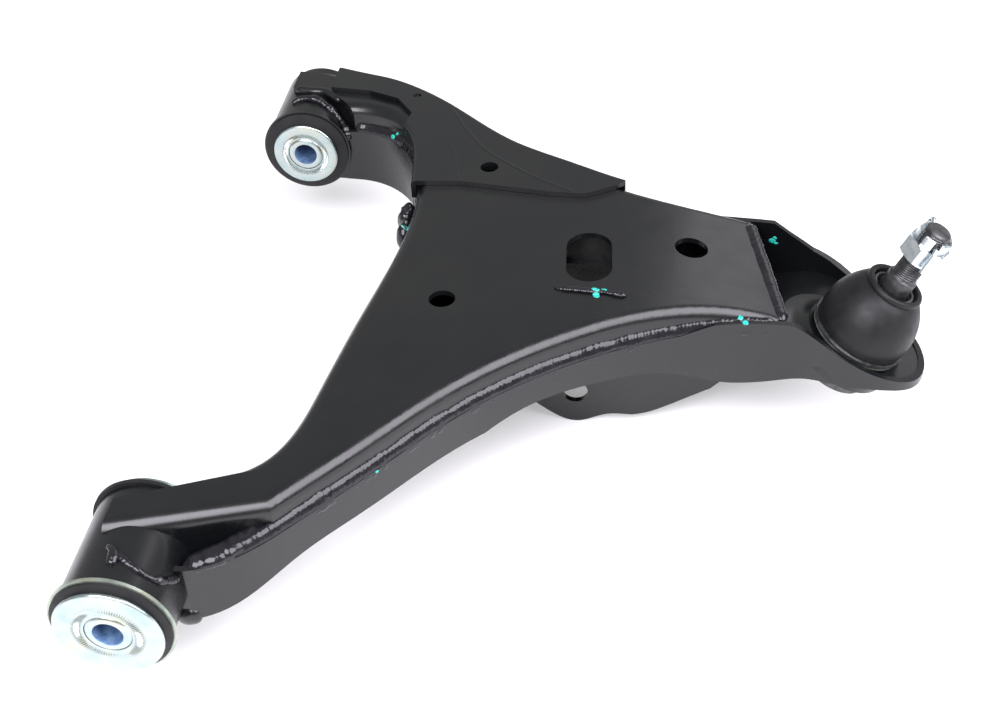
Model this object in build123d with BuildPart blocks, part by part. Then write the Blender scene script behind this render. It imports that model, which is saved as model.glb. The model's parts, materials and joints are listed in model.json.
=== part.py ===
"""Stamped and welded lower control arm with two bushings and a ball joint.

Frame: +Y runs along the pivot axis from the rear bushing to the front one,
+X points outboard to the ball joint and +Z is up. The origin is the centre
of the rear bushing's bore. All lengths are millimetres.
"""
from build123d import *
import math
import os

os.makedirs("parts", exist_ok=True)

# ---- driving dimensions -------------------------------------------------
sheet = 3.5                 # upper shell and front leg cover
shell_wall = 4.0            # lower shell and shock ears
nesting_gap = 0.2           # upper flange inside the lower wall
contact_gap = 0.05          # pieces that are welded or pressed together
running_gap = 0.05          # radial play of sleeves and ball
bend_radius = 8.0           # outer bend radius of the upper shell
plate_top = 34.0            # flat top of the upper shell
flange_bottom = 8.0         # lower edge of the upper shell's flange
wall_top = 15.0             # upper edge of the lower shell's wall on the legs

bush_spacing = 460.7        # rear bore centre to front bore centre
bore_radius = 8.15          # both inner sleeves, for M16 bolts
sleeve_radius = 13.0
washer_thickness = 3.0

joint_lean = 26.5                   # outboard lean of the ball joint, degrees
joint_seat = Vector(393.5, 229, 0)  # centre of the ball joint's seal seat
ball_depth = 9.0                    # ball centre below the seal seat
ball_radius = 15.0
housing_radius = 27.5
clip_radius = 30.6          # clip round the foot of the dust boot
thread_radius = 8.0                 # M16 x 1.5 stud thread
nut_flats = 24.0
nut_base = 77.0                     # along the stud, from the ball centre
nut_hex_height = 12.0
nut_height = 19.0
stud_end = 99.0
pin_height = 92.0                   # cotter pin, from the ball centre

shock_bolt_x = 219.0
shock_bolt_z = -45.0
shock_bolt_radius = 8.5
ear_y = 215.0                       # rear face of the rear shock ear
ear_spacing = 82.0                  # rear ear to front ear

# ---- planes and axes ----------------------------------------------------
lean = math.radians(joint_lean)
stud_axis = Vector(math.sin(lean), 0, math.cos(lean))
ball_centre = joint_seat - stud_axis * ball_depth
joint_axis = Axis(ball_centre, stud_axis)
joint_section = Plane(origin=ball_centre, x_dir=(0, 1, 0), z_dir=(math.cos(lean), 0, -math.sin(lean)))
across_stud = Plane(origin=ball_centre, x_dir=(0, 1, 0), z_dir=stud_axis)
side_view_start = Plane.XZ.offset(40)     # side views start here and look along +Y
side_view_depth = 600.0
flank_run = Vector(75, 21, 0).normalized()
flank_plane = Plane(origin=(-46, -10.8, plate_top), x_dir=(flank_run.Y, -flank_run.X, 0), z_dir=flank_run)

# ---- outline of the arm seen from above, lower shell's outer face -------
near_side = [(33, -10), (58, 1), (87, 31), (117, 67), (155, 114), (207, 161), (275, 198), (320, 210), (352, 210)]
cup_side = [(352, 210), (378, 199), (405, 193), (427, 202), (437, 227), (427, 258), (398, 290), (343, 322)]
far_side = [(343, 322), (303, 326), (255, 337), (203, 364), (167, 385), (128, 420), (106, 441), (62, 471),
            (26, 484)]
throat_side = [(36, 428), (66, 418), (86, 392), (95, 355), (99, 300), (95, 250), (85, 190), (74, 115),
               (65, 75), (55, 59), (44, 51), (33, 43)]

def inset_points(points, inset):
    """Points of an open stretch, moved towards the inside of the outline."""
    moved = []
    last = len(points) - 1
    for i, (x, y) in enumerate(points):
        before = points[max(i - 1, 0)]
        after = points[min(i + 1, last)]
        run = Vector(after[0] - before[0], after[1] - before[1]).normalized()
        moved.append((x - run.Y * inset, y + run.X * inset))
    return moved


def arm_outline(inset, rear_end, front_end):
    """Outline of the arm, moved in from the lower shell's outer face.

    The two ends are points that close the outline round the bushing tubes.
    """
    near = inset_points(near_side, inset)
    cup = inset_points(cup_side, inset)
    far = inset_points(far_side, inset)
    throat = inset_points(throat_side, inset)
    cup[0] = near[-1]
    far[0] = cup[-1]
    with BuildSketch() as outline:
        with BuildLine():
            side = Spline(*near)
            nose = Spline(*cup, tangents=[side % 1, (-1, 0.15)])
            Spline(*far, tangents=[nose % 1, (-36, 14)])
            Polyline(far[-1], *front_end, throat[0])
            Spline(*throat)
            Polyline(throat[-1], *rear_end, near[0])
        make_face()
    return outline.sketch


def turned(section, axis, points):
    """A closed profile of (radius, height) points turned about an axis."""
    with BuildPart() as body:
        with BuildSketch(section):
            with BuildLine():
                Polyline(*points, close=True)
            make_face()
        revolve(axis=axis)
    return body.part


def ring(inner, outer, low, high):
    """Corners of a plain ring's profile."""
    return [(inner, low), (outer, low), (outer, high), (inner, high)]


def cut_at_tubes():
    """Cylinders along the pivot axis that trim sheets where they meet the tubes and rubber bumpers."""
    with BuildPart() as cuts:
        for name, centre_y, half_length, tube_radius, washer_radius, flange_radius, bumper_radius in bushings:
            with BuildSketch(Plane.XZ.offset(60 - centre_y)):
                Circle(tube_radius + contact_gap)
            extrude(amount=-120)
            with BuildSketch(Plane.XZ.offset(tube_setback - half_length - centre_y)):
                Circle(bumper_radius + 0.3)
            extrude(amount=-20)
    return cuts.part


# ---- bushings -----------------------------------------------------------
# name, centre along Y, half length over washers, tube radius, washer radius, flange radius, bumper radius
bushings = [("rear", 0.0, 43.0, 31.5, 30.0, 34.5, 33.8), ("front", bush_spacing, 42.0, 31.0, 24.2, 32.8, 27.5)]
tube_setback = 8.6          # end of a tube to the outer face of its washer
tube_cuts = cut_at_tubes()

for name, centre_y, half_length, tube_radius, washer_radius, flange_radius, bumper_radius in bushings:
    tube_end = half_length - tube_setback
    press_radius = tube_radius - 3.5
    rubber_radius = press_radius - 1.5
    washer_face = half_length - washer_thickness
    bush_section = Plane(origin=(0, centre_y, 0))

    tube = turned(bush_section, Axis.Y, ring(press_radius, tube_radius, -tube_end, tube_end))
    tube.label = name + "_bush_tube"
    export_step(tube, "parts/" + tube.label + ".step")

    # pressed in from the rear, where its flange stops against the tube
    outer_sleeve = turned(bush_section, Axis.Y, [
        (rubber_radius, -tube_end - 1.8), (flange_radius, -tube_end - 1.8), (flange_radius, -tube_end),
        (press_radius - contact_gap, -tube_end), (press_radius - contact_gap, tube_end - 1.5),
        (rubber_radius, tube_end - 1.5)])
    outer_sleeve.label = name + "_outer_sleeve"
    export_step(outer_sleeve, "parts/" + outer_sleeve.label + ".step")

    # moulded rubber with a bumper at each end under the washers
    front_bumper = tube_end + 0.5
    rubber = turned(bush_section, Axis.Y, [
        (sleeve_radius + running_gap, -washer_face + 0.15), (washer_radius - 1.5, -washer_face + 0.15),
        (flange_radius - 1.6, -washer_face + 2.2), (flange_radius - 1.6, -tube_end - 1.9),
        (rubber_radius - contact_gap, -tube_end - 1.9), (rubber_radius - contact_gap, front_bumper),
        (bumper_radius, front_bumper), (bumper_radius, washer_face - 2.5),
        (washer_radius - 1.5, washer_face - 0.15), (sleeve_radius + running_gap, washer_face - 0.15)])
    rubber.label = name + "_rubber"
    export_step(rubber, "parts/" + rubber.label + ".step")

    with BuildPart() as inner_sleeve:
        with BuildSketch(Plane.XZ.offset(half_length - centre_y)):
            Circle(sleeve_radius)
            Circle(bore_radius, mode=Mode.SUBTRACT)
        extrude(amount=-2 * half_length)
        chamfer(inner_sleeve.edges().filter_by(GeomType.CIRCLE).filter_by(
            lambda edge: edge.radius < sleeve_radius - 1), length=0.8)
    inner_sleeve.part.label = name + "_inner_sleeve"
    export_step(inner_sleeve.part, "parts/" + inner_sleeve.part.label + ".step")

    # washers pressed onto the inner sleeve's two ends
    for side, direction in (("rear", -1), ("front", 1)):
        outer_face = direction * half_length
        with BuildPart() as washer:
            with BuildSketch(Plane.XZ.offset(-centre_y - outer_face)):
                Circle(washer_radius)
                Circle(sleeve_radius + contact_gap, mode=Mode.SUBTRACT)
            extrude(amount=direction * washer_thickness)
            rims = washer.edges().filter_by(GeomType.CIRCLE).filter_by(
                lambda edge: edge.radius > washer_radius - 1)
            fillet(rims, radius=0.8)
        washer.part.label = name + "_bush_" + side + "_washer"
        export_step(washer.part, "parts/" + washer.part.label + ".step")


# ---- upper shell --------------------------------------------------------
def crown_profile(inset):
    """Side view of the upper shell's surface: flat, then dropping in an arc."""
    drop_start = 235
    drop_radius = 370 - inset
    end_x = 460
    crown = plate_top - inset
    end_z = crown - (drop_radius - math.sqrt(drop_radius ** 2 - (end_x - drop_start) ** 2))
    with BuildSketch(side_view_start) as profile:
        with BuildLine():
            Line((-60, flange_bottom - inset), (-60, crown))
            Line((-60, crown), (drop_start, crown))
            RadiusArc((drop_start, crown), (end_x, end_z), drop_radius)
            Polyline((end_x, end_z), (end_x, end_z - 20), (345, flange_bottom - 4 - inset),
                     (-60, flange_bottom - inset))
        make_face()
    return profile.sketch


def crown_block(inset):
    """Solid block inside the upper shell's surface, inset by the given depth."""
    tongue_end = 6 * inset
    rear_end = [(-11 - tongue_end, 22 + tongue_end), (-11 - tongue_end, -14 + inset)]
    front_end = [(-14 - tongue_end, 483 - inset), (-14 - tongue_end, 459 + inset), (14, 455 + inset)]
    with BuildPart() as block:
        with BuildSketch(Plane.XY.offset(-60)):
            add(arm_outline(shell_wall + nesting_gap + inset, rear_end, front_end))
        extrude(amount=140)
        with BuildSketch(side_view_start):
            add(crown_profile(inset))
        extrude(amount=-side_view_depth, mode=Mode.INTERSECT)
        # sloping flank of the rear leg, beside the tube
        with BuildSketch(flank_plane):
            with BuildLine():
                Polyline((-inset, 100), (-inset, 0), (56 - inset, -80), (150, -80), (150, 100), close=True)
            make_face()
        extrude(amount=200, mode=Mode.SUBTRACT)
        # outboard end, cut slightly across the arm
        with BuildSketch(Plane.XY.offset(-80)):
            with BuildLine():
                Polyline((362 + inset / 3, 150), (307 + inset / 3, 400), (520, 400), (520, 150), close=True)
            make_face()
        extrude(amount=200, mode=Mode.SUBTRACT)
        flat_top = block.faces().filter_by(GeomType.PLANE).sort_by(Axis.Z)[-1]
        bends = flat_top.edges().filter_by(lambda edge: edge.length > 85 and edge.center().X < 200)
        if inset:
            bends = bends.filter_by(lambda edge: edge.center().Y < 350)
        fillet(bends, radius=bend_radius - inset)
    return block.part


slot_centre = (226, 255)
tool_holes = [((139, 206), 8.3), ((290, 274), 10.6), ((150, 350), 7.5)]
with BuildPart() as upper_shell:
    add(crown_block(0))
    add(crown_block(sheet), mode=Mode.SUBTRACT)
    with BuildSketch(Plane.XY.offset(plate_top + 1)):
        with Locations(slot_centre):
            SlotOverall(52, 29, rotation=94)
        for place, radius in tool_holes:
            with Locations(place):
                Circle(radius)
    extrude(amount=-20, mode=Mode.SUBTRACT)
    # rear corner of the outboard end, cut back from the cup's wall
    with BuildSketch(Plane.XY.offset(-40)):
        with BuildLine():
            Polyline((336, 211), (350, 225), (352, 208), close=True)
        make_face()
    extrude(amount=80, mode=Mode.SUBTRACT)
    add(tube_cuts, mode=Mode.SUBTRACT)
upper_shell.part.label = "upper_shell"
export_step(upper_shell.part, "parts/upper_shell.step")


# ---- lower shell --------------------------------------------------------
def tray_profile(inset):
    """Side view of the lower shell, with the floor raised by the given depth.

    The floor arches up over the shock mount, and both edges fall away
    round the leaning ball joint.
    """
    rim_rise = 40 if inset else 0
    with BuildSketch(side_view_start) as profile:
        with BuildLine():
            floor = Spline((-30, -24 + inset), (120, -24 + inset), (158, -13.5 + inset), (192, -4.5 + inset),
                           (236, -6 + inset), (282, -14 + inset), (312, -26 + inset), (338, -26 + inset),
                           (378, -15 + inset), (405, -13.5 + inset), (450, -24 + inset), tangents=[(1, 0), (1, -0.2)])
            Polyline(floor @ 1, (450, -23 + rim_rise), (400, -1 + rim_rise), (354, 20 + rim_rise),
                     (306, 20 + rim_rise), (286, wall_top + rim_rise), (-30, wall_top + rim_rise), floor @ 0)
        make_face()
    return profile.sketch


def tray_end_view(inset):
    """End view of the lower shell: the rear leg is shallower between its bushing and the shock mount."""
    with BuildSketch(Plane.YZ.offset(-40)) as profile:
        with BuildLine():
            floor = Spline((-40, -36 + inset), (-6, -21 + inset), (22, -10 + inset), (60, -8 + inset),
                           (130, -8.5 + inset), (164, -14 + inset), (190, -36 + inset))
            Polyline(floor @ 1, (540, -36 + inset), (540, 80), (-40, 80), floor @ 0)
        make_face()
    return profile.sketch


def tray_block(inset):
    """Solid block inside the lower shell's surface, inset by the given depth."""
    tube_reach = 12 - 3 * inset
    rear_end = [(tube_reach, 33 - inset), (tube_reach, -10 + inset)]
    front_end = [(tube_reach, 484 - inset), (tube_reach, 428 + inset)]
    with BuildPart() as block:
        with BuildSketch(Plane.XY.offset(-60)):
            add(arm_outline(inset, rear_end, front_end))
        extrude(amount=140)
        with BuildSketch(side_view_start):
            add(tray_profile(inset))
        extrude(amount=-side_view_depth, mode=Mode.INTERSECT)
        extrude(tray_end_view(inset), amount=side_view_depth, dir=(1, 0, 0), mode=Mode.INTERSECT)
    return block.part


def ear_plate(start_y):
    """Shock ear: a plate across X, with its outboard part folded forward."""
    tab_top = plate_top - sheet - 0.5
    with BuildPart() as plate:
        with BuildSketch(Plane.XY.offset(-90)):
            with BuildLine():
                Polyline((150, start_y), (256, start_y), (330, start_y + 12),
                         (330, start_y + 12 + shell_wall), (256, start_y + shell_wall),
                         (150, start_y + shell_wall), close=True)
            make_face()
        extrude(amount=140)
        with BuildSketch(side_view_start):
            with BuildLine():
                Polyline((207, 0), (207, tab_top), (251, tab_top), (251, 0), (320, 0), (320, -31), (306, -44))
                Spline((306, -44), (284, -54), (258, -62.5), (240, -63), (220, -70), (200, -61), (184, -48),
                       (170, -38))
                Polyline((170, -38), (170, 0), (207, 0))
            make_face()
            with Locations((shock_bolt_x, shock_bolt_z)):
                Circle(shock_bolt_radius, mode=Mode.SUBTRACT)
        extrude(amount=-side_view_depth, mode=Mode.INTERSECT)
    return plate.part


# flared foot of the raised seat, kept inside the cup's wall
with BuildPart() as seat_flare:
    with BuildSketch(joint_section):
        with BuildLine():
            Polyline((26, -14), (housing_radius, 7), (housing_radius + 3.5, 7))
            ThreePointArc((housing_radius + 3.5, 7), (36, 0.5), (47, -3))
            Polyline((47, -3), (47, -14), (26, -14))
        make_face()
    revolve(axis=joint_axis)
    add(tray_block(0), mode=Mode.INTERSECT)

with BuildPart() as lower_shell:
    add(tray_block(0))
    add(tray_block(shell_wall), mode=Mode.SUBTRACT)
    # raised seat round the ball joint, and the bore that holds its housing
    with BuildSketch(across_stud.offset(-10)):
        Circle(housing_radius + 4)
    extrude(amount=17)
    add(seat_flare.part)
    with BuildSketch(across_stud.offset(-60)):
        Circle(housing_radius + contact_gap)
    extrude(amount=90, mode=Mode.SUBTRACT)
    # room for the seal's ring and clip inside the cup's wall
    with BuildSketch(across_stud.offset(ball_depth - 0.5)):
        Circle(clip_radius + 0.3)
    extrude(amount=30, mode=Mode.SUBTRACT)
    # front rim of the cup, which falls away sooner than the rear one
    with BuildSketch(Plane.XZ.offset(-262)):
        with BuildLine():
            Polyline((344, 20), (356, 12), (370, 4), (385, 0), (402, -2), (402, 30), (344, 30), close=True)
        make_face()
    extrude(amount=-100, mode=Mode.SUBTRACT)
    # opening in the floor between the shock ears
    with BuildSketch(Plane.XY.offset(-40)):
        with Locations((229, ear_y + shell_wall + (ear_spacing - shell_wall) / 2)):
            RectangleRounded(66, ear_spacing - shell_wall - 8, 12)
    extrude(amount=50, mode=Mode.SUBTRACT)
    # slits that the tabs of the ears pass through
    with BuildSketch(Plane.XY.offset(-40)):
        with Locations((229, ear_y + shell_wall / 2), (229, ear_y + ear_spacing + shell_wall / 2)):
            Rectangle(44 + 2 * contact_gap, shell_wall + 2 * contact_gap)
    extrude(amount=50, mode=Mode.SUBTRACT)
    add(tube_cuts, mode=Mode.SUBTRACT)
lower_shell.part.label = "lower_shell"
export_step(lower_shell.part, "parts/lower_shell.step")

for name, start_y in (("rear_shock_ear", ear_y), ("front_shock_ear", ear_y + ear_spacing)):
    with BuildPart() as ear:
        add(ear_plate(start_y))
        add(lower_shell.part, mode=Mode.SUBTRACT)
    ear.part.label = name
    export_step(ear.part, "parts/" + name + ".step")


# ---- front leg cover ----------------------------------------------------
cover_low = plate_top + nesting_gap
cover_top = cover_low + sheet
cover_hole_radius = 6.2


def cover_area():
    """The stretch of the front leg that the cover lies on, seen from above."""
    with BuildSketch() as area:
        with BuildLine():
            Polyline((80, 329), (131, 332), (196, 322), (218, 321), (238, 332), (244, 338), (244, 500),
                     (17, 500), (17, 454), (47, 450), (70, 440), (84, 420), (80, 395), close=True)
        make_face()
    return area.sketch


def cover_outline(inset):
    """The arm's outline within the cover's area."""
    with BuildSketch() as outline:
        add(arm_outline(inset, [(12, 33), (12, -10)], [(-20, 484 - inset), (-20, 454), (14, 454), (36, 440)]))
        add(cover_area(), mode=Mode.INTERSECT)
    return outline.sketch


with BuildPart() as front_leg_cover:
    with BuildSketch(Plane.XY.offset(cover_low)):
        add(cover_outline(0.5))
    extrude(amount=sheet)
    # flange over the sides of the upper shell
    with BuildSketch(Plane.XY.offset(cover_low - 10)):
        add(cover_outline(0.5))
        add(arm_outline(shell_wall - 0.1, [(12, 33), (12, -10)],
                        [(-20, 480), (-20, 400), (36, 400)]), mode=Mode.SUBTRACT)
    extrude(amount=10.5)
    outer_bends = front_leg_cover.edges().filter_by(GeomType.BSPLINE).filter_by(
        lambda edge: edge.center().Z > cover_top - 0.1)
    fillet(outer_bends, radius=3.4)
    with BuildSketch(Plane.XY.offset(cover_top + 1)):
        with Locations(tool_holes[2][0]):
            Circle(cover_hole_radius)
    extrude(amount=-20, mode=Mode.SUBTRACT)
    add(tube_cuts, mode=Mode.SUBTRACT)
    # shallow locating dimple
    with BuildSketch(Plane.XY.offset(cover_top)):
        with Locations((84, 444)):
            Circle(3)
    extrude(amount=-1.2, mode=Mode.SUBTRACT)
front_leg_cover.part.label = "front_leg_cover"
export_step(front_leg_cover.part, "parts/front_leg_cover.step")


# ---- ball joint ---------------------------------------------------------
seat_height = ball_depth                    # seal seat, along the stud from the ball centre
housing_low = -19.0
boot_low = seat_height + 1.2
joint_pieces = {
    "ball_joint_housing": [(14.6, seat_height), (housing_radius, seat_height), (housing_radius, -6), (24, -12),
                           (24, housing_low), (21, housing_low), (21, -15), (18, -15), (18, 5), (14.6, 5)],
    "joint_bottom_cap": ring(0, 20.95, -17.6, -15.05),
    "joint_snap_ring": ring(17.5, 20.95, -18.8, -17.65),
    "boot_seat_ring": ring(22, 29.8, seat_height + 0.05, boot_low - 0.05),
    "boot_base_clip": ring(clip_radius - 1, clip_radius, boot_low + 1.6, boot_low + 3.2),
    "boot_upper_ring": ring(12.0, 13.3, 49.8, 51.4),
}
for name, corners in joint_pieces.items():
    piece = turned(joint_section, joint_axis, corners)
    piece.label = name
    export_step(piece, "parts/" + name + ".step")

with BuildPart() as ball_seat:
    add(turned(joint_section, joint_axis, ring(0, 17.95, -14.95, 4.95)))
    with Locations(ball_centre):
        Sphere(ball_radius + running_gap, mode=Mode.SUBTRACT)
ball_seat.part.label = "ball_seat"
export_step(ball_seat.part, "parts/ball_seat.step")

with BuildPart() as dust_boot:
    with BuildSketch(joint_section):
        with BuildLine():
            Polyline((24, boot_low), (29.3, boot_low), (29.3, 14))
            Spline((29.3, 14), (30.2, 21), (29.2, 30), (26.2, 38.5), (21.6, 46), (17.8, 50))
            Polyline((17.8, 50), (18.4, 52.2), (17.4, 54), (15.4, 54), (14.6, 51.6), (14.2, 49.5), (10.9, 49.5),
                     (10.9, 47), (15.6, 46.6))
            Spline((15.6, 46.6), (19.6, 42.4), (23.7, 36), (26.8, 28), (27.8, 20.5), (26.9, 14))
            Line((26.9, 14), (24, boot_low))
        make_face()
    revolve(axis=joint_axis)
dust_boot.part.label = "dust_boot"
export_step(dust_boot.part, "parts/dust_boot.step")

taper_low = 43.0
taper_high = 61.0
neck_radius = 8.6
with BuildPart() as ball_stud:
    with Locations(ball_centre):
        Sphere(ball_radius)
    with BuildSketch(joint_section):
        with BuildLine():
            Polyline((0, 5), (neck_radius, 5), (neck_radius, 36), (10.6, 40), (10.6, taper_low), (9.2, taper_high),
                     (thread_radius, taper_high + 1), (thread_radius, stud_end - 1), (thread_radius - 1, stud_end),
                     (0, stud_end), close=True)
        make_face()
    revolve(axis=joint_axis)
    # hole for the cotter pin
    with BuildSketch(Plane(origin=ball_centre + stud_axis * pin_height, x_dir=stud_axis, z_dir=(0, 1, 0))):
        Circle(1.9)
    extrude(amount=20, both=True, mode=Mode.SUBTRACT)
    # flat under the ball
    with BuildSketch(across_stud.offset(-14)):
        Circle(20)
    extrude(amount=-10, mode=Mode.SUBTRACT)
ball_stud.part.label = "ball_stud"
export_step(ball_stud.part, "parts/ball_stud.step")

# flats face along Y, with a slot in the middle of each
nut_corner = nut_flats / math.sqrt(3)
crown_radius = nut_flats / 2 - 1
with BuildPart() as castle_nut:
    with BuildSketch(across_stud.offset(nut_base)):
        RegularPolygon(nut_flats / 2, 6, major_radius=False, rotation=30)
        Circle(thread_radius + contact_gap, mode=Mode.SUBTRACT)
    extrude(amount=nut_height)
    # turned chamfers and the round crown
    with BuildSketch(joint_section):
        with BuildLine():
            hex_top = nut_base + nut_hex_height
            Polyline((0, nut_base), (nut_corner - 1.4, nut_base), (nut_corner, nut_base + 0.8),
                     (nut_corner, hex_top - 0.8), (nut_corner - 1.4, hex_top), (crown_radius, hex_top),
                     (crown_radius, nut_base + nut_height - 0.8), (crown_radius - 0.8, nut_base + nut_height),
                     (0, nut_base + nut_height), close=True)
        make_face()
    revolve(axis=joint_axis, mode=Mode.INTERSECT)
    with BuildSketch(across_stud.offset(hex_top)):
        with PolarLocations(0, 3, angular_range=180):
            Rectangle(30, 4.6)
    extrude(amount=nut_height, mode=Mode.SUBTRACT)
castle_nut.part.label = "castle_nut"
export_step(castle_nut.part, "parts/castle_nut.step")

# eye on the front side, one leg bent down over the nut's rear flat
pin_radius = 1.5
pin_centre = ball_centre + stud_axis * pin_height
pin_front = pin_centre + Vector(0, 13, 0)
pin_bend = pin_centre - Vector(0, nut_flats / 2 + 2.4, 0)
eye_radius = 3.0
with BuildPart() as cotter_pin:
    with BuildLine():
        FilletPolyline(pin_front, pin_bend, pin_bend - Vector(0, 1.2, 0) - stud_axis * 15, radius=2.5)
    with BuildSketch(Plane(origin=pin_front, z_dir=(0, -1, 0))):
        Circle(pin_radius)
    sweep()
    with Locations(Plane(origin=pin_front + Vector(0, eye_radius, 0), z_dir=joint_section.z_dir)):
        Torus(eye_radius, pin_radius)
cotter_pin.part.label = "cotter_pin"
export_step(cotter_pin.part, "parts/cotter_pin.step")
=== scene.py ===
"""Looks of a stamped and welded lower control arm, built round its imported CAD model.

Everything is in metres, in the CAD model's frame: +Y along the pivot axis from the
rear bushing to the front one, +X outboard to the ball joint, +Z up.
"""

import json
import math

import bmesh
import bpy
from mathutils import Matrix, Vector, noise
from mathutils.bvhtree import BVHTree


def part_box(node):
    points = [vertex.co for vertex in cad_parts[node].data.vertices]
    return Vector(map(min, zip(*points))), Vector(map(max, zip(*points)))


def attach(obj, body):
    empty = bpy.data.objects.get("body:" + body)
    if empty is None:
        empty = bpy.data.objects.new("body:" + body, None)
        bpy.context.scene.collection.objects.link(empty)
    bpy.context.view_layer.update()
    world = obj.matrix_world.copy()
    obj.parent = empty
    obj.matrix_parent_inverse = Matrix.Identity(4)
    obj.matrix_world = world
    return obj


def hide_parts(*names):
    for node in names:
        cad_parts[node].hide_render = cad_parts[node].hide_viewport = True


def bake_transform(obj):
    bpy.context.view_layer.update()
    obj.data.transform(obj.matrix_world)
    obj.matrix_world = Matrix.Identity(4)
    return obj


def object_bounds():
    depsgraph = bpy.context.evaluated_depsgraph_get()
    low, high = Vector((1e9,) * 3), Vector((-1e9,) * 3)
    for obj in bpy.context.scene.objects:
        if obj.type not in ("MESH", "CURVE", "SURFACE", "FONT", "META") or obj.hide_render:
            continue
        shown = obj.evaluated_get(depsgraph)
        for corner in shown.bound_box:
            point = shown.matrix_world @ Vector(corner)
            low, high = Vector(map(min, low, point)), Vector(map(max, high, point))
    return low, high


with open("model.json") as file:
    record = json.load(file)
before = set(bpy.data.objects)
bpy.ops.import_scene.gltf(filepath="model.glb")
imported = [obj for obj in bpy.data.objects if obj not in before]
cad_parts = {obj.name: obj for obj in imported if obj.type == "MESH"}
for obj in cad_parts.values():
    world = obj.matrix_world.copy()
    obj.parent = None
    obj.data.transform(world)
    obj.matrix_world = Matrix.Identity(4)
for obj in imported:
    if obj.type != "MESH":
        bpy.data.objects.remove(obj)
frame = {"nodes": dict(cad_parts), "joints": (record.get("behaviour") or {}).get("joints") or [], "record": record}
cad_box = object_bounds()

MM = 0.001
UP = Vector((0, 0, 1))
NODES = frame["nodes"]
JOINTS = {joint["name"]: joint for joint in frame["joints"]}
BALL = Vector(JOINTS["stud_spin"]["pos_m"])
STUD = Vector(JOINTS["stud_spin"]["axis"]).normalized()
ARM_MESHES = ("upper_shell", "lower_shell", "front_leg_cover", "rear_shock_ear",
              "front_shock_ear", "rear_bush_tube", "front_bush_tube")
slot_of = {row["node"]: row["material_slot"] for row in frame["record"]["subparts"]}

# millimetres
BEAD_STEP = 0.5         # spacing of the sections along a weld bead
CRESCENT = 2.6          # length of one crescent of a weld bead
SEAM_INSET = 3.1        # the long seams' depth behind the lower shell's outer face
SEAM_LEAN = 0.38        # how far the long seams' sections lean outwards, in radians
CREASE_HEIGHT = 37.45   # top of the front leg's cover
SLEEVE_BORE = 8.15      # radius of the bushing sleeves' bore
SLEEVE_HOLE = 13.06     # radius of the washers' hole, round the sleeve
BOOT_CUT = 31.0         # height of the line between the boot's two rings
THREAD_START = 62.0
THREAD_END = 98.0
THREAD_PITCH = 1.5
FLOOR_HALF_WIDTH = 40.0  # metres


# ---- materials ----------------------------------------------------------
class Surface:
    """A node-based material, with short calls for the nodes that it is made of."""

    def __init__(self, name, roughness, metallic=0.0, specular=0.5):
        self.material = bpy.data.materials.new(name)
        self.material.use_nodes = True
        self.tree = self.material.node_tree
        self.shader = self.tree.nodes["Principled BSDF"]
        self.shader.inputs["Roughness"].default_value = roughness
        self.shader.inputs["Metallic"].default_value = metallic
        self.shader.inputs["Specular IOR Level"].default_value = specular
        self.place = self.tree.nodes.new("ShaderNodeTexCoord").outputs["Object"]

    def cloud(self, size, detail=3.0):
        """Noise whose lumps are about the given size across, in metres."""
        texture = self.tree.nodes.new("ShaderNodeTexNoise")
        texture.inputs["Scale"].default_value = 1 / size
        texture.inputs["Detail"].default_value = detail
        self.tree.links.new(self.place, texture.inputs["Vector"])
        return texture.outputs["Fac"]

    def colour(self, value, stops):
        """Base colour picked by a value. Stops are (position, colour)."""
        node = self.tree.nodes.new("ShaderNodeValToRGB")
        while len(node.color_ramp.elements) < len(stops):
            node.color_ramp.elements.new(0.5)
        for element, (position, tone) in zip(node.color_ramp.elements, stops):
            element.position = position
            element.color = (*tone, 1)
        self.tree.links.new(value, node.inputs["Fac"])
        self.tree.links.new(node.outputs["Color"], self.shader.inputs["Base Color"])

    def roughness(self, value, low, high):
        """Roughness from low to high, as noise goes over its usual range of 0.3 to 0.7."""
        node = self.tree.nodes.new("ShaderNodeMapRange")
        node.inputs["From Min"].default_value = 0.3
        node.inputs["From Max"].default_value = 0.7
        node.inputs["To Min"].default_value = low
        node.inputs["To Max"].default_value = high
        self.tree.links.new(value, node.inputs["Value"])
        self.tree.links.new(node.outputs["Result"], self.shader.inputs["Roughness"])

    def bump(self, value, height):
        """Raises the surface by up to the given height, in metres, on top of earlier bumps."""
        node = self.tree.nodes.new("ShaderNodeBump")
        node.inputs["Strength"].default_value = 1.0
        node.inputs["Distance"].default_value = height
        self.tree.links.new(value, node.inputs["Height"])
        earlier = self.shader.inputs["Normal"].links
        if earlier:
            self.tree.links.new(earlier[0].from_socket, node.inputs["Normal"])
        self.tree.links.new(node.outputs["Normal"], self.shader.inputs["Normal"])


def ecoat():
    """Satin black e-coat: slight colour drift, fine orange peel, a few dusty patches."""
    surface = Surface("black_ecoat", 0.26, specular=0.5)
    surface.colour(surface.cloud(70 * MM, 4), [(0.3, (0.0030, 0.0036, 0.0042)),
                                               (0.55, (0.0042, 0.0047, 0.0050)),
                                               (0.75, (0.0058, 0.0062, 0.0060))])
    surface.roughness(surface.cloud(18 * MM, 6), 0.23, 0.30)
    surface.bump(surface.cloud(1.3 * MM, 2), 0.006 * MM)
    return surface.material


def weld_coat():
    """E-coat pooled over the weld beads: glossy and lumpy."""
    surface = Surface("weld_ecoat", 0.14, specular=0.42)
    surface.colour(surface.cloud(6 * MM), [(0.35, (0.004, 0.004, 0.006)),
                                           (0.7, (0.010, 0.010, 0.012))])
    surface.roughness(surface.cloud(4 * MM), 0.09, 0.2)
    surface.bump(surface.cloud(3.4 * MM, 3), 0.26 * MM)
    return surface.material


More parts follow.
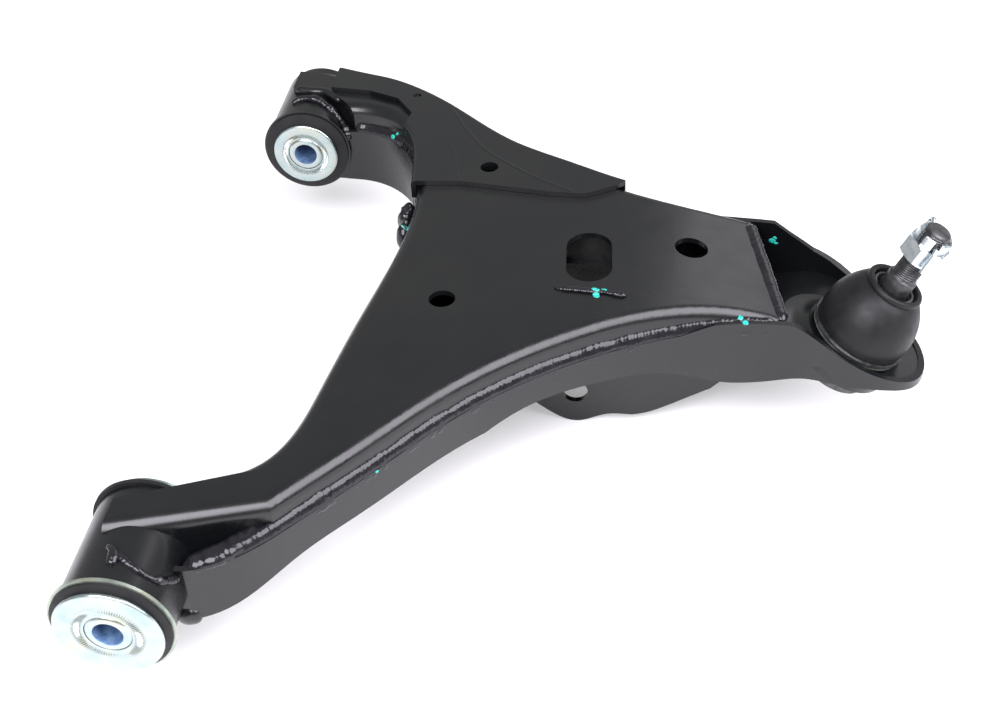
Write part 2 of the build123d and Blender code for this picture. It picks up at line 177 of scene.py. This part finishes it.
def zinc():
    """Bright zinc plate with a faint blue and yellow drift and fine handling marks."""
    surface = Surface("zinc_plate", 0.3, metallic=1.0)
    surface.colour(surface.cloud(14 * MM, 3), [(0.3, (0.36, 0.46, 0.46)),
                                               (0.5, (0.44, 0.50, 0.49)),
                                               (0.7, (0.49, 0.52, 0.43))])
    surface.roughness(surface.cloud(5 * MM, 5), 0.2, 0.3)
    surface.bump(surface.cloud(0.5 * MM, 2), 0.012 * MM)
    return surface.material


def zinc_flange():
    """Duller greenish zinc on the pressed sleeves and the seal's seat."""
    surface = Surface("zinc_flange", 0.38, metallic=0.9)
    surface.colour(surface.cloud(9 * MM, 3), [(0.3, (0.26, 0.31, 0.26)), (0.55, (0.38, 0.43, 0.37)),
                                              (0.75, (0.44, 0.45, 0.34))])
    surface.roughness(surface.cloud(4 * MM, 4), 0.3, 0.48)
    surface.bump(surface.cloud(0.6 * MM, 2), 0.015 * MM)
    return surface.material


def bore_blue_and_shade():
    """Blue passivated steel inside the bushing sleeves, darkened with painted shade of the deep bore."""
    surface = Surface("bore_blue_and_shade", 0.4, metallic=0.35)
    # dark blue base colour: the passivation's tint plus painted shade of the bore's inside
    surface.colour(surface.cloud(5 * MM, 4), [(0.3, (0.07, 0.13, 0.27)), (0.5, (0.11, 0.20, 0.36)),
                                              (0.7, (0.18, 0.29, 0.45))])
    surface.roughness(surface.cloud(2 * MM, 4), 0.25, 0.5)
    surface.bump(surface.cloud(0.7 * MM, 3), 0.03 * MM)
    return surface.material


def rubber(name, tone, gloss):
    """Moulded rubber with a fine mottled skin and faint bloom."""
    surface = Surface(name, gloss, specular=0.28)
    surface.colour(surface.cloud(12 * MM, 5), [(0.3, (tone, tone, tone * 1.08)),
                                               (0.7, (tone * 1.7, tone * 1.7, tone * 1.85))])
    surface.roughness(surface.cloud(6 * MM, 4), gloss - 0.07, gloss + 0.1)
    surface.bump(surface.cloud(0.45 * MM, 2), 0.015 * MM)
    surface.bump(surface.cloud(9 * MM, 2), 0.05 * MM)
    return surface.material


def dark_steel(name, tone, gloss):
    """Phosphated or oiled steel with turned texture and brighter rubbed patches."""
    surface = Surface(name, gloss, metallic=0.85)
    surface.colour(surface.cloud(4 * MM, 5), [(0.3, (tone, tone, tone * 1.05)),
                                              (0.75, (tone * 2.2, tone * 2.2, tone * 2.2))])
    surface.roughness(surface.cloud(3 * MM, 4), gloss - 0.08, gloss + 0.12)
    surface.bump(surface.cloud(0.4 * MM, 2), 0.02 * MM)
    return surface.material


def nut_zinc():
    """Bright zinc on the nut and the pin, a little bluish."""
    surface = Surface("nut_zinc", 0.26, metallic=1.0)
    surface.colour(surface.cloud(5 * MM, 4), [(0.3, (0.50, 0.56, 0.60)), (0.55, (0.68, 0.73, 0.76)),
                                              (0.75, (0.76, 0.78, 0.76))])
    surface.roughness(surface.cloud(2 * MM, 5), 0.2, 0.36)
    surface.bump(surface.cloud(0.8 * MM, 3), 0.03 * MM)
    return surface.material


def acetal():
    """Natural polymer of the ball's seat."""
    surface = Surface("acetal", 0.45)
    surface.colour(surface.cloud(8 * MM), [(0.3, (0.74, 0.72, 0.64)), (0.7, (0.84, 0.82, 0.76))])
    surface.roughness(surface.cloud(3 * MM), 0.38, 0.52)
    return surface.material


def paint():
    """Thin teal marking paint, uneven in thickness."""
    surface = Surface("teal_paint", 0.4)
    surface.colour(surface.cloud(1.5 * MM, 4), [(0.3, (0.004, 0.20, 0.17)),
                                                (0.55, (0.012, 0.44, 0.36)),
                                                (0.75, (0.05, 0.60, 0.50))])
    surface.roughness(surface.cloud(1 * MM, 3), 0.3, 0.55)
    surface.bump(surface.cloud(0.6 * MM, 3), 0.08 * MM)
    return surface.material


MATERIALS = {
    "black_ecoat": ecoat(),
    "zinc_plate": zinc(),
    "zinc_flange": zinc_flange(),
    "bush_rubber": rubber("bush_rubber", 0.006, 0.50),
    "boot_rubber": rubber("boot_rubber", 0.004, 0.46),
    "dark_steel": dark_steel("dark_steel", 0.05, 0.38),
    "spring_steel": dark_steel("spring_steel", 0.09, 0.32),
    "nut_zinc": nut_zinc(),
    "acetal": acetal(),
}
WELD = weld_coat()
BORE = bore_blue_and_shade()
PAINT = paint()


def coat_cad_nodes():
    """Gives every CAD node its slot's material."""
    for name, node in NODES.items():
        node.data.materials.clear()
        node.data.materials.append(MATERIALS[slot_of[name]])
    # the front bushing's outer sleeve is coated black along with the arm
    NODES["front_outer_sleeve"].data.materials[0] = MATERIALS["black_ecoat"]


# ---- meshes -------------------------------------------------------------
def mesh_piece(name, points, faces, material, sharp=35):
    """A closed mesh from points in millimetres, smooth except at edges sharper than the angle."""
    mesh = bpy.data.meshes.new(name)
    mesh.from_pydata([point * MM for point in points], [], faces)
    work = bmesh.new()
    work.from_mesh(mesh)
    bmesh.ops.recalc_face_normals(work, faces=work.faces)
    work.to_mesh(mesh)
    work.free()
    mesh.shade_smooth()
    mesh.set_sharp_from_angle(angle=math.radians(sharp))
    mesh.materials.append(material)
    piece = bpy.data.objects.new(name, mesh)
    bpy.context.scene.collection.objects.link(piece)
    return piece


def through(points, spacing):
    """Points about evenly spaced along a smooth curve through the given ones."""
    points = [Vector(point) for point in points]
    ends = [2 * points[0] - points[1], *points, 2 * points[-1] - points[-2]]
    curve = []
    for a, b, c, d in zip(ends, ends[1:], ends[2:], ends[3:]):
        count = max(2, round((c - b).length / spacing))
        for i in range(count):
            t = i / count
            curve.append(0.5 * (2 * b + (c - a) * t + (2 * a - 5 * b + 4 * c - d) * t ** 2
                                + (3 * b - a - 3 * c + d) * t ** 3))
    curve.append(points[-1])
    return curve


def turned(name, centre, axis, profile, steps, material, shape=None, sharp=35):
    """Mesh turned about an axis from a profile of (radius, height) in millimetres.

    A profile that starts and ends on the axis makes a solid, any other is a closed loop
    and makes a ring. shape moves a profile point by its angle.
    """
    side = axis.orthogonal().normalized()
    other = axis.cross(side)
    centre = centre / MM
    solid = profile[0][0] == 0
    rim = profile[1:-1] if solid else profile
    rows = len(rim)
    points = []
    for i in range(steps):
        angle = math.tau * i / steps
        out = side * math.cos(angle) + other * math.sin(angle)
        for radius, height in rim:
            if shape:
                radius, height = shape(radius, height, angle)
            points.append(centre + out * radius + axis * height)
    faces = []
    for i in range(steps):
        here, there = i * rows, (i + 1) % steps * rows
        for j in range(rows - 1 if solid else rows):
            k = (j + 1) % rows
            faces.append((here + j, here + k, there + k, there + j))
    if solid:
        points += [centre + axis * profile[0][1], centre + axis * profile[-1][1]]
        for i in range(steps):
            here, there = i * rows, (i + 1) % steps * rows
            faces.append((here, there, steps * rows))
            faces.append((here + rows - 1, there + rows - 1, steps * rows + 1))
    return mesh_piece(name, points, faces, material, sharp)


# ---- weld beads ---------------------------------------------------------
def bead(name, route, across, tall, lumps=0.2, ripple=0.01, material=WELD, lean=0.0):
    """Weld bead of overlapping crescents along a route in millimetres, with tapered ends.

    across and tall are the section's half sizes. lumps is how uneven its size is, ripple how
    deep the crescents are, and lean turns the section, in radians, about the route.
    """
    spine = through(route, BEAD_STEP)
    reach = [0.0]
    for here, there in zip(spine, spine[1:]):
        reach.append(reach[-1] + (there - here).length)
    ring = 16
    points = []
    for i, place in enumerate(spine):
        run = (spine[min(i + 1, len(spine) - 1)] - spine[max(i - 1, 0)]).normalized()
        side = run.cross(UP).normalized()
        rise = side.cross(run)
        side, rise = (side * math.cos(lean) + rise * math.sin(lean),
                      rise * math.cos(lean) - side * math.sin(lean))
        end = min(reach[i], reach[-1] - reach[i]) / (1.6 * across)
        size = math.sqrt(max(0.03, 1 - (1 - min(end, 1)) ** 2))
        size *= 1 + lumps * (noise.noise(place * 0.09) + 0.6 * noise.noise(place * 0.31 + UP * 7))
        for j in range(ring):
            angle = math.tau * j / ring
            drift = 1.5 * noise.noise(place * 0.05 + UP * 3)
            wave = math.cos(math.tau * (reach[i] / CRESCENT + drift + 0.45 * math.cos(angle) ** 2))
            around = Vector((math.cos(angle), math.sin(angle), 0))
            pimple = 0.3 * lumps * noise.noise(place * 0.22 + around * 1.2)
            radius = size * (1 + ripple * wave + pimple)
            points.append(place + side * math.cos(angle) * across * radius
                          + rise * math.sin(angle) * tall * radius)
    faces = [tuple(range(ring)), tuple(range(len(points) - ring, len(points)))]
    for i in range(len(spine) - 1):
        for j in range(ring):
            k = (j + 1) % ring
            faces.append((i * ring + j, i * ring + k, (i + 1) * ring + k, (i + 1) * ring + j))
    piece = mesh_piece(name, points, faces, material, 70)
    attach(piece, "arm")
    return piece


def surface_under(meshes):
    """Search tree over the given objects' faces, in metres."""
    points = []
    faces = []
    for piece in meshes:
        start = len(points)
        points += [vertex.co.copy() for vertex in piece.data.vertices]
        faces += [tuple(start + i for i in face.vertices) for face in piece.data.polygons]
    return BVHTree.FromPolygons(points, faces)


def seams(ground):
    """Every weld bead on the arm, with the coated bends and creases made in the same way."""
    coat = MATERIALS["black_ecoat"]

    def top(x, y):
        """Height of the arm's top there, in millimetres."""
        return ground.ray_cast(Vector((x, y, 100)) * MM, -UP)[0].z / MM

    def along_wall(route):
        """The route moved to SEAM_INSET behind the lower shell's outer face."""
        moved = []
        spine = through(route, 9)
        for i, place in enumerate(spine):
            run = spine[min(i + 1, len(spine) - 1)] - spine[max(i - 1, 0)]
            out = Vector((run.y, -run.x, 0)).normalized()
            level = Vector((place.x, place.y, 12)) + out * 15
            hit = ground.ray_cast(level * MM, -out, 25 * MM)[0]
            if hit:
                face = hit / MM - out * SEAM_INSET
                moved.append((face.x, face.y, place.z))
        return moved

    beads = [
        bead("near_seam", along_wall([(56, 3, 15), (85, 32.7, 16), (115, 68.6, 16),
                                      (153, 115.8, 16), (205.5, 163, 16), (274, 200.4, 16),
                                      (320, 212.6, 16), (343, 213.5, 15.4)]),
             2.4, 5.8, 0.14, 0.014, lean=SEAM_LEAN),
        bead("near_seam_start", [(31, -4.5, 11.5), (40, -1.5, 14), (50, 3.5, 15.5),
                                 (60, 12.5, 16.5), (71, 24, 17)], 6.6, 4.8, 0.2, 0.0),
        bead("throat_seam", along_wall([(38, 430, 16), (53, 428, 16), (68, 420, 16),
                                        (87.6, 393, 16), (96.8, 355, 16), (100.8, 300, 16),
                                        (96.8, 250, 16), (86.8, 190, 16), (75.8, 115, 16),
                                        (66.8, 75, 16), (56, 58, 16), (44, 49.5, 16)]),
             2.4, 5.2, 0.14, 0.014, lean=SEAM_LEAN),
        bead("throat_patch", [(96, 332, 15), (96.5, 322, 14), (97.5, 311, 15), (98.5, 300, 16),
                              (98.5, 288, 17)], 4.4, 7.5, 0.6, 0.03),
        bead("far_seam", along_wall([(330, 319, 15), (303, 322.5, 16), (256, 333.5, 16),
                                     (205, 360.5, 16), (169, 381.5, 16), (130, 416.5, 16),
                                     (106.5, 437, 16), (62, 467.5, 16), (29, 480, 16)]),
             2.4, 5.4, 0.14, 0.014, lean=SEAM_LEAN),
        bead("front_tip_bend", [(-13, 460.5, 31.2), (0, 458.2, 31.2), (13, 456.2, 31.2),
                                (25, 445, 31)],
             3.4, 3.4, 0, 0, coat),
        bead("front_flange_weld", [(38, 436, 22), (48, 434, 22.5), (60, 429, 22), (70, 421, 21)],
             1.8, 1.6, 0.3),
        bead("front_tube_weld", [(-12, 442, 29), (-7, 445.5, 31), (1, 446, 32), (9, 444.5, 31),
                                 (17, 441, 27), (24.5, 437.5, 20.5), (30, 431.5, 15),
                                 (33, 427, 8)], 2.7, 2.5, 0.35, 0.04),
        bead("rear_tube_weld", [(3, -16, 31.6), (14, -21.5, 28.6), (21.6, -23, 23.4),
                                (27, -19, 17.2), (31, -11, 11)], 1.9, 1.9, 0.45, 0.03),
        bead("rear_tip_weld", [(-4, -9.5, 31.4), (0, -13.5, 32.4), (2, -18.5, 32.2),
                               (1, -23.5, 31)],
             2.6, 2.2, 0.5, 0.03),
        bead("rear_lower_weld", [(22, -7, -21), (29, -9, -21.5), (37, -8.5, -20)],
             3.4, 6.2, 0.12, 0.0, coat),
        bead("ear_tab_weld", [(207, 221, 34.4), (221, 219.5, 35), (237, 218, 35), (252, 216, 34.4)],
             2.3, 1.5, 0.45, 0.07),
        bead("cover_crease_far", [(x, y, CREASE_HEIGHT) for x, y in (
            (114, 424), (128, 397), (144, 373), (162, 356), (182, 340), (201, 328), (210, 323))],
             1.5, 0.5, 0, 0, coat),
        bead("cover_crease_near", [(x, y, CREASE_HEIGHT) for x, y in (
            (117, 382), (123, 366), (127, 351), (130, 335))], 1.4, 0.4, 0, 0, coat),
    ]
    for name, shift in (("rear", 0), ("front", 89)):
        beads.append(bead(name + "_ear_weld", [
            (200, 213.6 + shift, -6), (225, 213.6 + shift, -6.5), (250, 213.8 + shift, -9),
            (275, 217 + shift, -14.5), (295, 220 + shift, -21), (308, 222 + shift, -27)],
                          2.6, 2.6, 0.45, 0.03))
    end_route = []
    for y in (220, 238, 258, 278, 298, 314):
        x = 363 - 0.22 * (y - 150)
        end_route.append((x, y, top(x - 3.5, y) - 2))
    beads.append(bead("shell_end_weld", end_route, 4.6, 3.4, 0.1, 0.008))
    return beads


def cover_dimple(ground):
    """Small pressed locating dimple on the front leg's cover."""
    top = ground.ray_cast(Vector((84, 445, 100)) * MM, -UP)[0]
    ring = [(2.6, -0.4), (2.6, 0.05), (3.3, 0.5), (4.6, 0.5), (5.8, 0.05), (5.8, -0.4)]
    piece = turned("cover_dimple", top, UP, ring, 48, MATERIALS["black_ecoat"], sharp=60)
    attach(piece, "arm")


def dab(name, ground, centre, facing, lobes):
    """Marking paint in a few round lobes, each (along, up, radius), laid on the surface."""
    facing = Vector(facing).normalized()
    along = UP.cross(facing).normalized() if abs(facing.z) < 0.9 else Vector((1, 0, 0))
    up = facing.cross(along)
    steps = 20
    crown = 0.34
    rings = [(0.5, 0.30), (0.85, 0.20), (1.0, -0.25)]
    for number, (right, rise, radius) in enumerate(lobes):
        middle = Vector(centre) + along * right + up * rise
        points = []
        for share, height in rings:
            for i in range(steps):
                angle = math.tau * i / steps
                around = Vector((math.cos(angle), math.sin(angle), 0))
                wobble = 1 + 0.35 * noise.noise(middle * 3 + around)
                flat = along * math.cos(angle) + up * math.sin(angle) * 0.8
                spot = middle + flat * radius * share * wobble
                hit = ground.ray_cast((spot + facing * 6) * MM, -facing, 14 * MM)[0]
                spot = hit / MM if hit else spot
                points.append(spot + facing * height)
        hit = ground.ray_cast((middle + facing * 6) * MM, -facing, 14 * MM)[0]
        points.append((hit / MM if hit else middle) + facing * crown)
        points.append((hit / MM if hit else middle) - facing * 0.5)
        faces = []
        for i in range(steps):
            k = (i + 1) % steps
            faces.append((i, k, len(points) - 2))
            faces.append((2 * steps + i, 2 * steps + k, len(points) - 1))
            for row in (0, steps):
                faces.append((row + i, row + k, row + steps + k, row + steps + i))
        piece = mesh_piece(f"{name}_{number}", points, faces, PAINT, 60)
        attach(piece, "arm")


def marking_paint(ground):
    """The inspector's dabs of paint along the welds."""
    dab("paint_throat", ground, (70.5, 420, 18.3), (-0.63, -0.77, 0.2),
        [(0, -1, 2.1), (2.6, 2.2, 1.4)])
    dab("paint_edge", ground, (99, 292, 27), (-0.8, 0, 0.59), [(0, 0, 1.6), (0, 2.6, 1.2)])
    dab("paint_ear_tab", ground, (233, 218, 35), (0, 0, 1),
        [(0, 0.5, 2.6), (4.6, 2.6, 2.4), (0.5, -3.2, 2.4)])
    dab("paint_seam", ground, (322, 211, 21), (0.1, -0.8, 0.6), [(0, 2.5, 1.9), (2.6, -0.6, 2.0)])
    dab("paint_cup", ground, (343, 318.2, 6), (-0.17, -0.99, 0),
        [(0, 0, 2.6), (1.6, 2.6, 1.6), (2.4, -1.5, 1.5)])
    dab("paint_leg", ground, (121.4, 72.6, 14), (0.79, -0.62, 0.3), [(0, 0, 1.3)])


# ---- bushings -----------------------------------------------------------
def body_of(node):
    """Name of the moving body that the CAD node belongs to."""
    bodies = frame["record"]["behaviour"]["bodies"]
    return next(name for name, members in bodies.items() if node in members)


def stands_for(piece, node):
    """The piece moves with the CAD node's body and is shown in its place."""
    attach(piece, body_of(node))
    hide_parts(node)


def serrated_washer(node, centre, axis, radius):
    """Washer with a ring of fine radial teeth round its hole and a rolled outer edge."""
    tooth_in = 13.9
    tooth_out = min(radius * 0.72, 20.6)
    teeth = 84
    back = -2.98

    def shape(place, height, angle):
        if height > -1.2 and tooth_in - 0.1 < place < tooth_out + 0.1:
            share = (place - tooth_in + 0.6) / (tooth_out - tooth_in + 1.2)
            depth = 0.34 * math.sin(math.pi * share)
            height -= depth * (1 + math.cos(teeth * angle))
        return place, height

    band = [(tooth_out - (tooth_out - tooth_in) * i / 6, -0.16 - 0.3 * i / 6) for i in range(7)]
    profile = [(SLEEVE_HOLE, back), (radius - 0.9, back), (radius - 0.3, -2.75), (radius, -2.3),
               (radius, -1.0), (radius - 0.25, -0.45), (radius - 0.9, -0.12), (radius - 1.6, 0.0),
               (tooth_out + 0.8, 0.0), *band, (tooth_in - 0.35, -0.62), (SLEEVE_HOLE, -0.72)]
    piece = turned(node + "_look", centre, axis, profile, 5 * teeth, MATERIALS["zinc_plate"],
                   shape, 50)
    stands_for(piece, node)


def inner_sleeve(node, centre, half_length):
    """Steel sleeve with eased ends and a blue passivated bore, whose colour carries painted shade."""
    half = []
    for radius, setback in ((13.0, 1.3), (12.6, 0.75), (11.6, 0.2), (11.0, 0.0), (8.9, 0.0),
                            (8.4, 0.25), (SLEEVE_BORE, 0.8)):
        half.append((radius, half_length - setback))
    bore = [(SLEEVE_BORE, half_length * (1 - i / 10)) for i in range(1, 20)]
    profile = half + bore + [(radius, -height) for radius, height in reversed(half)]
    piece = turned(node + "_look", centre, Vector((0, 1, 0)), profile, 96, MATERIALS["zinc_plate"])
    # the bore's faces take the blue material, which has painted shade in its colour
    piece.data.materials.append(BORE)
    for face in piece.data.polygons:
        middle = face.center - centre
        if math.hypot(middle.x, middle.z) < 8.3 * MM:
            face.material_index = 1
    stands_for(piece, node)


def bushings():
    """Inner sleeve and two washers of each bushing."""
    for name in ("rear", "front"):
        low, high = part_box(name + "_inner_sleeve")
        centre = (low + high) / 2
        inner_sleeve(name + "_inner_sleeve", centre, (high.y - low.y) / 2 / MM)
        for side, axis in (("rear", Vector((0, -1, 0))), ("front", Vector((0, 1, 0)))):
            node = f"{name}_bush_{side}_washer"
            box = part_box(node)
            face = Vector((centre.x, box[0].y if side == "rear" else box[1].y, centre.z))
            serrated_washer(node, face, axis, (box[1].x - box[0].x) / 2 / MM)


# ---- ball joint ---------------------------------------------------------
def dust_boot():
    """Rubber boot in two rings, turned about the stud's axis."""
    outer = through([(29.3, 14), (30.2, 21), (29.2, 30), (26.2, 38.5), (21.6, 46), (17.8, 50)],
                    0.7)
    inner = through([(26.9, 14), (27.8, 20.5), (26.8, 28), (23.7, 36), (19.6, 42.4), (15.6, 46.6)],
                    1.2)
    lower = [(24, 10.25), (28.6, 10.25), (29.3, 10.9), *[p for p in outer if p.y < BOOT_CUT]]
    joint_row = next(p for p in outer if p.y >= BOOT_CUT)
    inner_row = next(p for p in inner if p.y >= BOOT_CUT - 1.5)
    lower += [joint_row, inner_row, *[p for p in reversed(inner) if p.y < BOOT_CUT - 1.5]]
    lip = [(18.0, 50.5), (18.5, 51.4), (18.4, 52.6), (17.9, 53.6), (17.1, 54.0), (15.6, 54.0),
           (14.9, 53.4), (14.6, 51.8), (14.2, 49.6), (10.95, 49.4), (10.95, 47.2), (15.2, 46.9)]
    upper = [*[p for p in outer if p.y >= BOOT_CUT], *lip,
             *[p for p in reversed(inner) if p.y >= BOOT_CUT - 1.5]]
    rubber_skin = MATERIALS["boot_rubber"]
    foot = turned("boot_lower", BALL, STUD, [tuple(p) for p in lower], 128, rubber_skin, sharp=50)
    neck = turned("boot_upper", BALL, STUD, [tuple(p) for p in upper], 128, rubber_skin, sharp=50)
    for piece in (foot, neck):
        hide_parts("dust_boot")
    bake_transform(foot)
    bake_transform(neck)


def threaded_stud():
    """Ball, neck, taper and rolled M16 x 1.5 thread."""
    def shape(radius, height, angle):
        if THREAD_START < height < THREAD_END:
            depth = 0.9 * min(1, (height - THREAD_START) / 2, (THREAD_END - height) / 1.5)
            turn = (height / THREAD_PITCH - angle / math.tau) % 1
            radius -= depth * abs(2 * turn - 1)
        return radius, height

    ball = [(15 * math.sin(math.radians(a)), -15 * math.cos(math.radians(a)))
            for a in range(24, 146, 5)]
    shank = [(8.6, 12.6), (8.6, 36), (10.6, 40), (10.6, 43), (9.2, 61), (8.0, THREAD_START)]
    rows = round((THREAD_END - THREAD_START) * 4)
    thread = [(8.0, THREAD_START + 0.25 * i) for i in range(1, rows + 1)]
    profile = [(0, ball[0][1]), *ball, *shank, *thread, (7.6, 98.5), (7.0, 99.0), (0, 99.0)]
    piece = turned("ball_stud_look", BALL, STUD, profile, 72, MATERIALS["dark_steel"], shape, 40)
    stands_for(piece, "ball_stud")


# ---- the stage ----------------------------------------------------------
def make_stage():
    """Pale floor under the arm's lowest point, soft lights and the camera."""
    low = cad_box[0][2]
    centre = Vector((0.19, 0.23, low))
    mesh = bpy.data.meshes.new("floor")
    corners = ((-1, -1), (1, -1), (1, 1), (-1, 1))
    mesh.from_pydata([(x * FLOOR_HALF_WIDTH, y * FLOOR_HALF_WIDTH, low) for x, y in corners],
                     [], [(0, 1, 2, 3)])
    floor = bpy.data.objects.new("floor", mesh)
    bpy.context.scene.collection.objects.link(floor)
    surface = Surface("floor", 0.9, specular=0.1)
    surface.colour(surface.cloud(0.8, 2), [(0.3, (0.66, 0.66, 0.66)), (0.7, (0.68, 0.68, 0.68))])
    surface.shader.inputs["Emission Color"].default_value = (1, 1, 1, 1)
    surface.shader.inputs["Emission Strength"].default_value = 0.3
    mesh.materials.append(surface.material)

    world = bpy.data.worlds.new("studio")
    bpy.context.scene.world = world
    bpy.context.scene.view_settings.view_transform = "Standard"
    world.use_nodes = True
    world.node_tree.nodes["Background"].inputs["Color"].default_value = (1, 1, 1, 1)
    world.node_tree.nodes["Background"].inputs["Strength"].default_value = 0.5

    # each light: name, offset from the arm's middle, width, watts
    lights = [("key", (-0.3, -1.0, 1.1), 1.0, 34), ("side", (1.05, -0.32, 1.15), 1.3, 44),
              ("back", (0.7, 1.4, 1.2), 0.8, 3)]
    for name, offset, size, power in lights:
        data = bpy.data.lights.new(name, "AREA")
        data.size = size
        data.energy = power
        data.color = (0.95, 0.92, 1.0)
        light = bpy.data.objects.new(name, data)
        light.location = centre + Vector(offset)
        light.rotation_euler = (centre - light.location).to_track_quat("-Z", "Y").to_euler()
        bpy.context.scene.collection.objects.link(light)

    data = bpy.data.cameras.new("camera")
    data.lens = 54.0
    data.sensor_width = 36.0
    data.clip_start = 0.01
    camera = bpy.data.objects.new("camera", data)
    bpy.context.scene.collection.objects.link(camera)
    look = Vector((-0.12541, 0.75843, -0.63957)).normalized()
    top = Vector((-0.04243, 0.63997, 0.76723))
    right = look.cross(top).normalized()
    turn = Matrix((right, right.cross(look), -look)).transposed()
    camera.matrix_world = Matrix.Translation((0.29187, -0.51351, 0.59546)) @ turn.to_4x4()
    bpy.context.scene.camera = camera


make_stage()
coat_cad_nodes()
arm = [NODES[name] for name in ARM_MESHES]
welds = seams(surface_under(arm))
cover_dimple(surface_under(arm))
marking_paint(surface_under(arm + welds))
bushings()
dust_boot()
threaded_stud()
